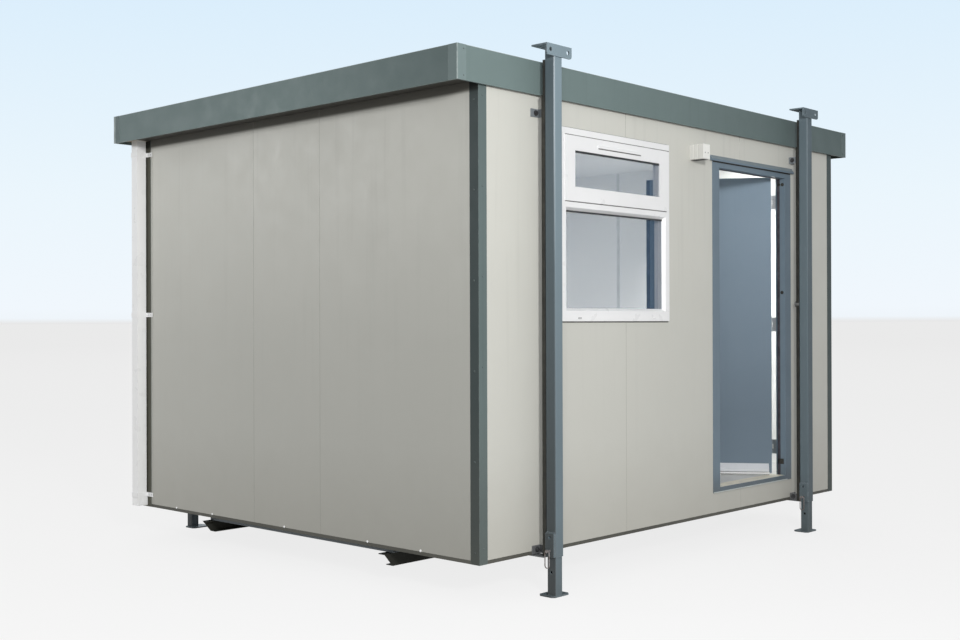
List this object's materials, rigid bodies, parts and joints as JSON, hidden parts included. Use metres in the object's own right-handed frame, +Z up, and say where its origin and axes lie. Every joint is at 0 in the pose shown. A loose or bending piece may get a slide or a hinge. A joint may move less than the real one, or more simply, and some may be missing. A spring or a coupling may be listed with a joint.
{
  "type": "portable site cabin",
  "caption": "Portable site cabin with insulated panel walls, a steel base on jack legs with sliding feet, a flat roof with a deep fascia, one window and an inward-opening door",
  "frame": {"origin": "centre of the cabin's outline on the ground, under the feet", "axes": "+Z up, +X to the right along the long front wall, the door and window face -Y"},
  "size_m": [4.012, 3.32, 2.824],
  "materials": {
    "panel_cream": "semi-matt coil-coated steel faces",
    "trim_green": "satin paint",
    "steel_blue": "satin paint on steel",
    "door_blue": "satin paint on steel",
    "frame_white": "satin white plastic",
    "pipe_white": "gloss white plastic",
    "glass": "clear double glazing",
    "aluminium": "white powder-coated aluminium",
    "base_dark": "dark paint on steel",
    "roof_sheet": "coated steel roof sheet",
    "gutter_steel": "coated steel",
    "floor_vinyl": "grey sheet vinyl",
    "floor_under": "dark steel underside",
    "timber": "pale timber",
    "hinge_steel": "zinc-plated steel",
    "inlet_cream": "cream plastic"
  },
  "bodies": {
    "cabin": {"base_rail": "base_dark", "floor_cassette": "floor_under", "floor_deck": "floor_vinyl", "skid_front": "base_dark", "skid_rear": "base_dark", "cross_rail_left": "steel_blue", "cross_rail_right": "steel_blue", "front_panel_left": "panel_cream", "front_panel_middle": "panel_cream", "front_panel_right": "panel_cream", "front_panel_over_door": "panel_cream", "front_panel_under_door": "panel_cream", "corner_trims": "trim_green", "roof_deck": "roof_sheet", "roof_capping": "trim_green", "gutter": "gutter_steel", "gutter_bearer": "timber", "fascia_front": "trim_green", "fascia_rear": "trim_green", "fascia_left": "trim_green", "fascia_right": "trim_green", "fascia_corners": "trim_green", "window_frame": "frame_white", "window_sash": "frame_white", "window_glass_lower": "glass", "window_glass_upper": "glass", "trickle_vent": "frame_white", "door_frame": "door_blue", "door_threshold": "timber", "door_canopy": "door_blue", "hinge_frame_plates": "hinge_steel", "leg_pins": "hinge_steel", "leg_cleats": "steel_blue", "downpipe": "pipe_white", "pipe_clips": "pipe_white", "cable_inlet": "inlet_cream", "rear_panel_1": "panel_cream", "left_panel_1": "panel_cream", "right_panel_1": "panel_cream", "rear_panel_2": "panel_cream", "left_panel_2": "panel_cream", "right_panel_2": "panel_cream", "rear_panel_3": "panel_cream", "left_panel_3": "panel_cream", "right_panel_3": "panel_cream", "leg_front_left": "steel_blue", "leg_front_right": "steel_blue", "leg_rear_left": "steel_blue", "leg_rear_right": "steel_blue"},
    "door": {"door_leaf": "door_blue", "weather_bar": "aluminium", "hinge_leaf_plates": "hinge_steel", "door_handle_outer": "hinge_steel", "door_handle_inner": "hinge_steel"},
    "jack_front_left": {"foot_front_left": "steel_blue"},
    "jack_front_right": {"foot_front_right": "steel_blue"},
    "jack_rear_left": {"foot_rear_left": "steel_blue"},
    "jack_rear_right": {"foot_rear_right": "steel_blue"}
  },
  "joints": [
    {"name": "door_hinge", "type": "hinge", "parent": "cabin", "child": "door", "pos_m": [1.1855, -1.418, 1.35], "axis": [0, 0, -1], "range_deg": [-56.4, 37]},
    {"name": "jack_front_left_slide", "type": "slide", "parent": "cabin", "child": "jack_front_left", "axis": [0, 0, -1], "range_m": [0, 0.25]},
    {"name": "jack_front_right_slide", "type": "slide", "parent": "cabin", "child": "jack_front_right", "axis": [0, 0, -1], "range_m": [0, 0.25]},
    {"name": "jack_rear_left_slide", "type": "slide", "parent": "cabin", "child": "jack_rear_left", "axis": [0, 0, -1], "range_m": [0, 0.25]},
    {"name": "jack_rear_right_slide", "type": "slide", "parent": "cabin", "child": "jack_rear_right", "axis": [0, 0, -1], "range_m": [0, 0.25]}
  ]
}
